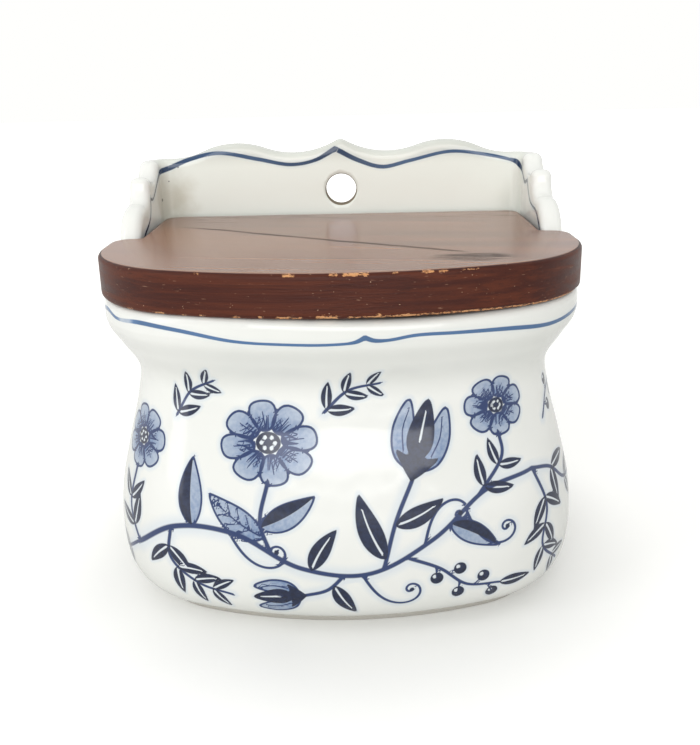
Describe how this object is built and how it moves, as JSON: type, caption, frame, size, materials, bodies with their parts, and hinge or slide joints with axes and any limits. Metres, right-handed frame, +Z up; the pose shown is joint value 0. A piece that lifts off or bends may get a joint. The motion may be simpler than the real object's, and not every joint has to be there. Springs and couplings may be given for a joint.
{
  "type": "wall salt box",
  "caption": "Wall-hung porcelain salt box with a bow-fronted pot, a scalloped hanging back with side wings, and a flat wooden lid that hinges up on pins between the wings.",
  "frame": {"origin": "under the middle of the overall box, on the surface that the foot ring stands on", "axes": "+X to the viewer's right, the front faces -Y and the flat back faces +Y, +Z up"},
  "size_m": [0.1414, 0.1096, 0.132],
  "materials": {
    "porcelain": "glossy clear glaze over white porcelain with underglaze blue lines and flowers",
    "lid_wood": "dark stained hardwood, waxed and worn at the edges",
    "pin_metal": "dull plain steel wire"
  },
  "bodies": {
    "pot": {"porcelain_body": "porcelain"},
    "lid": {"lid_board": "lid_wood", "hinge_pin_left": "pin_metal", "hinge_pin_right": "pin_metal"}
  },
  "joints": [
    {"name": "lid_hinge", "type": "hinge", "parent": "pot", "child": "lid", "pos_m": [0, 0.03974, 0.10095], "axis": [-1, 0, 0], "range_deg": [0, 94]}
  ]
}
